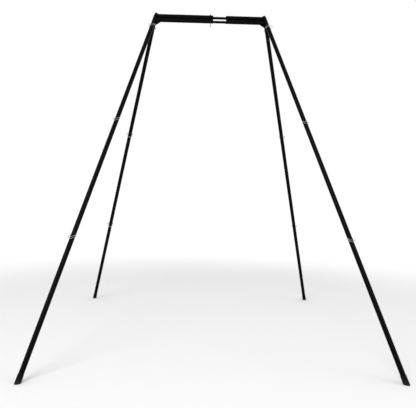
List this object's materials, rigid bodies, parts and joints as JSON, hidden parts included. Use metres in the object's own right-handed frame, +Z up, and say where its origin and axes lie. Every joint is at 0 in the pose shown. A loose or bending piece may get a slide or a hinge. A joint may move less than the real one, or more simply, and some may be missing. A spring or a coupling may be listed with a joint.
{
  "type": "aerial rig",
  "caption": "Free-standing aerial rig: splayed plug-together tube legs, a crossbar in halves on coupler bars, a hanging eye bolt, wire lock pins and rubber feet.",
  "frame": {"origin": "on the floor, midway between the four feet", "axes": "+X along the crossbar towards the half that carries the coupler bars' rivets, +Y to the back, +Z up"},
  "size_m": [3.6148, 3.6186, 4.094],
  "materials": {
    "black_powder_coat": "satin black powder coat",
    "zinc_plate": "bright zinc plate",
    "black_rubber": "matt moulded rubber"
  },
  "bodies": {
    "frame": {"left_crossbar_upper_tube": "black_powder_coat", "left_crossbar_lower_tube": "black_powder_coat", "left_yoke": "black_powder_coat", "right_crossbar_upper_tube": "black_powder_coat", "right_crossbar_lower_tube": "black_powder_coat", "right_yoke": "black_powder_coat", "upper_coupler_bar": "black_powder_coat", "lower_coupler_bar": "black_powder_coat", "hanging_eye_bolt": "zinc_plate", "eye_bolt_washer": "zinc_plate", "eye_bolt_nut": "zinc_plate", "upper_leg_tube_front_left": "black_powder_coat", "middle_leg_tube_front_left": "black_powder_coat", "lower_leg_tube_front_left": "black_powder_coat", "upper_spigot_front_left": "black_powder_coat", "lower_spigot_front_left": "black_powder_coat", "rubber_foot_front_left": "black_rubber", "upper_leg_tube_front_right": "black_powder_coat", "middle_leg_tube_front_right": "black_powder_coat", "lower_leg_tube_front_right": "black_powder_coat", "upper_spigot_front_right": "black_powder_coat", "lower_spigot_front_right": "black_powder_coat", "rubber_foot_front_right": "black_rubber", "upper_leg_tube_back_left": "black_powder_coat", "middle_leg_tube_back_left": "black_powder_coat", "lower_leg_tube_back_left": "black_powder_coat", "upper_spigot_back_left": "black_powder_coat", "lower_spigot_back_left": "black_powder_coat", "rubber_foot_back_left": "black_rubber", "upper_leg_tube_back_right": "black_powder_coat", "middle_leg_tube_back_right": "black_powder_coat", "lower_leg_tube_back_right": "black_powder_coat", "upper_spigot_back_right": "black_powder_coat", "lower_spigot_back_right": "black_powder_coat", "rubber_foot_back_right": "black_rubber"},
    "hub_lock_pin_front_left": {"hub_lock_pin_front_left": "zinc_plate"},
    "hub_wire_loop_front_left": {"hub_wire_loop_front_left": "zinc_plate"},
    "upper_lock_pin_front_left": {"upper_lock_pin_front_left": "zinc_plate"},
    "upper_wire_loop_front_left": {"upper_wire_loop_front_left": "zinc_plate"},
    "lower_lock_pin_front_left": {"lower_lock_pin_front_left": "zinc_plate"},
    "lower_wire_loop_front_left": {"lower_wire_loop_front_left": "zinc_plate"},
    "hub_lock_pin_front_right": {"hub_lock_pin_front_right": "zinc_plate"},
    "hub_wire_loop_front_right": {"hub_wire_loop_front_right": "zinc_plate"},
    "upper_lock_pin_front_right": {"upper_lock_pin_front_right": "zinc_plate"},
    "upper_wire_loop_front_right": {"upper_wire_loop_front_right": "zinc_plate"},
    "lower_lock_pin_front_right": {"lower_lock_pin_front_right": "zinc_plate"},
    "lower_wire_loop_front_right": {"lower_wire_loop_front_right": "zinc_plate"},
    "hub_lock_pin_back_left": {"hub_lock_pin_back_left": "zinc_plate"},
    "hub_wire_loop_back_left": {"hub_wire_loop_back_left": "zinc_plate"},
    "upper_lock_pin_back_left": {"upper_lock_pin_back_left": "zinc_plate"},
    "upper_wire_loop_back_left": {"upper_wire_loop_back_left": "zinc_plate"},
    "lower_lock_pin_back_left": {"lower_lock_pin_back_left": "zinc_plate"},
    "lower_wire_loop_back_left": {"lower_wire_loop_back_left": "zinc_plate"},
    "hub_lock_pin_back_right": {"hub_lock_pin_back_right": "zinc_plate"},
    "hub_wire_loop_back_right": {"hub_wire_loop_back_right": "zinc_plate"},
    "upper_lock_pin_back_right": {"upper_lock_pin_back_right": "zinc_plate"},
    "upper_wire_loop_back_right": {"upper_wire_loop_back_right": "zinc_plate"},
    "lower_lock_pin_back_right": {"lower_lock_pin_back_right": "zinc_plate"},
    "lower_wire_loop_back_right": {"lower_wire_loop_back_right": "zinc_plate"}
  },
  "joints": [
    {"name": "hub_pin_pull_front_left", "type": "slide", "parent": "frame", "child": "hub_lock_pin_front_left", "axis": [0.8583, -0.5131, 0], "range_m": [0, 0.0825]},
    {"name": "hub_loop_swing_front_left", "type": "hinge", "parent": "hub_lock_pin_front_left", "child": "hub_wire_loop_front_left", "pos_m": [-0.71635, -0.06735, 3.91715], "axis": [-0.1483, -0.2481, 0.9573], "range_deg": [0, 150]},
    {"name": "upper_pin_pull_front_left", "type": "slide", "parent": "frame", "child": "upper_lock_pin_front_left", "axis": [0.8583, -0.5131, 0], "range_m": [0, 0.0825]},
    {"name": "upper_loop_swing_front_left", "type": "hinge", "parent": "upper_lock_pin_front_left", "child": "upper_wire_loop_front_left", "pos_m": [-1.06255, -0.6464, 2.60436], "axis": [-0.1906, -0.3188, 0.9285], "range_deg": [0, 150]},
    {"name": "lower_pin_pull_front_left", "type": "slide", "parent": "frame", "child": "lower_lock_pin_front_left", "axis": [0.8583, -0.5131, 0], "range_m": [0, 0.0825]},
    {"name": "lower_loop_swing_front_left", "type": "hinge", "parent": "lower_lock_pin_front_left", "child": "lower_wire_loop_front_left", "pos_m": [-1.40874, -1.22545, 1.29157], "axis": [-0.1654, -0.2766, 0.9466], "range_deg": [0, 150]},
    {"name": "hub_pin_pull_front_right", "type": "slide", "parent": "frame", "child": "hub_lock_pin_front_right", "axis": [-0.8583, -0.5131, 0], "range_m": [0, 0.0825]},
    {"name": "hub_loop_swing_front_right", "type": "hinge", "parent": "hub_lock_pin_front_right", "child": "hub_wire_loop_front_right", "pos_m": [0.71635, -0.06735, 3.91715], "axis": [0.1345, -0.225, -0.965], "range_deg": [0, 150]},
    {"name": "upper_pin_pull_front_right", "type": "slide", "parent": "frame", "child": "upper_lock_pin_front_right", "axis": [-0.8583, -0.5131, 0], "range_m": [0, 0.0825]},
    {"name": "upper_loop_swing_front_right", "type": "hinge", "parent": "upper_lock_pin_front_right", "child": "upper_wire_loop_front_right", "pos_m": [1.06255, -0.6464, 2.60436], "axis": [-0.0962, 0.1608, -0.9823], "range_deg": [0, 150]},
    {"name": "lower_pin_pull_front_right", "type": "slide", "parent": "frame", "child": "lower_lock_pin_front_right", "axis": [-0.8583, -0.5131, 0], "range_m": [0, 0.0825]},
    {"name": "lower_loop_swing_front_right", "type": "hinge", "parent": "lower_lock_pin_front_right", "child": "lower_wire_loop_front_right", "pos_m": [1.40874, -1.22545, 1.29157], "axis": [-0.1738, 0.2908, -0.9409], "range_deg": [0, 150]},
    {"name": "hub_pin_pull_back_left", "type": "slide", "parent": "frame", "child": "hub_lock_pin_back_left", "axis": [0.8583, 0.5131, 0], "range_m": [0, 0.0825]},
    {"name": "hub_loop_swing_back_left", "type": "hinge", "parent": "hub_lock_pin_back_left", "child": "hub_wire_loop_back_left", "pos_m": [-0.71635, 0.06735, 3.91715], "axis": [0.1311, -0.2193, -0.9668], "range_deg": [0, 150]},
    {"name": "upper_pin_pull_back_left", "type": "slide", "parent": "frame", "child": "upper_lock_pin_back_left", "axis": [0.8583, 0.5131, 0], "range_m": [0, 0.0825]},
    {"name": "upper_loop_swing_back_left", "type": "hinge", "parent": "upper_lock_pin_back_left", "child": "upper_wire_loop_back_left", "pos_m": [-1.06255, 0.6464, 2.60436], "axis": [0.473, -0.7912, 0.3875], "range_deg": [0, 150]},
    {"name": "lower_pin_pull_back_left", "type": "slide", "parent": "frame", "child": "lower_lock_pin_back_left", "axis": [0.8583, 0.5131, 0], "range_m": [0, 0.0825]},
    {"name": "lower_loop_swing_back_left", "type": "hinge", "parent": "lower_lock_pin_back_left", "child": "lower_wire_loop_back_left", "pos_m": [-1.40874, 1.22545, 1.29157], "axis": [0.4912, -0.8217, 0.2891], "range_deg": [0, 150]},
    {"name": "hub_pin_pull_back_right", "type": "slide", "parent": "frame", "child": "hub_lock_pin_back_right", "axis": [-0.8583, 0.5131, 0], "range_m": [0, 0.0825]},
    {"name": "hub_loop_swing_back_right", "type": "hinge", "parent": "hub_lock_pin_back_right", "child": "hub_wire_loop_back_right", "pos_m": [0.71635, 0.06735, 3.91715], "axis": [0.0785, 0.1313, 0.9882], "range_deg": [0, 150]},
    {"name": "upper_pin_pull_back_right", "type": "slide", "parent": "frame", "child": "upper_lock_pin_back_right", "axis": [-0.8583, 0.5131, 0], "range_m": [0, 0.0825]},
    {"name": "upper_loop_swing_back_right", "type": "hinge", "parent": "upper_lock_pin_back_right", "child": "upper_wire_loop_back_right", "pos_m": [1.06255, 0.6464, 2.60436], "axis": [-0.0286, -0.0479, 0.9984], "range_deg": [0, 150]},
    {"name": "lower_pin_pull_back_right", "type": "slide", "parent": "frame", "child": "lower_lock_pin_back_right", "axis": [-0.8583, 0.5131, 0], "range_m": [0, 0.0825]},
    {"name": "lower_loop_swing_back_right", "type": "hinge", "parent": "lower_lock_pin_back_right", "child": "lower_wire_loop_back_right", "pos_m": [1.40874, 1.22545, 1.29157], "axis": [0.1224, 0.2048, 0.9711], "range_deg": [0, 150]}
  ],
  "couplings": [
    {"joint": "hub_pin_pull_front_left", "follows": "hub_loop_swing_front_left", "m_per_rad": 0.0315},
    {"joint": "upper_pin_pull_front_left", "follows": "upper_loop_swing_front_left", "m_per_rad": 0.0315},
    {"joint": "lower_pin_pull_front_left", "follows": "lower_loop_swing_front_left", "m_per_rad": 0.0315},
    {"joint": "hub_pin_pull_front_right", "follows": "hub_loop_swing_front_right", "m_per_rad": 0.0315},
    {"joint": "upper_pin_pull_front_right", "follows": "upper_loop_swing_front_right", "m_per_rad": 0.0315},
    {"joint": "lower_pin_pull_front_right", "follows": "lower_loop_swing_front_right", "m_per_rad": 0.0315},
    {"joint": "hub_pin_pull_back_left", "follows": "hub_loop_swing_back_left", "m_per_rad": 0.0315},
    {"joint": "upper_pin_pull_back_left", "follows": "upper_loop_swing_back_left", "m_per_rad": 0.0315},
    {"joint": "lower_pin_pull_back_left", "follows": "lower_loop_swing_back_left", "m_per_rad": 0.0315},
    {"joint": "hub_pin_pull_back_right", "follows": "hub_loop_swing_back_right", "m_per_rad": 0.0315},
    {"joint": "upper_pin_pull_back_right", "follows": "upper_loop_swing_back_right", "m_per_rad": 0.0315},
    {"joint": "lower_pin_pull_back_right", "follows": "lower_loop_swing_back_right", "m_per_rad": 0.0315}
  ]
}
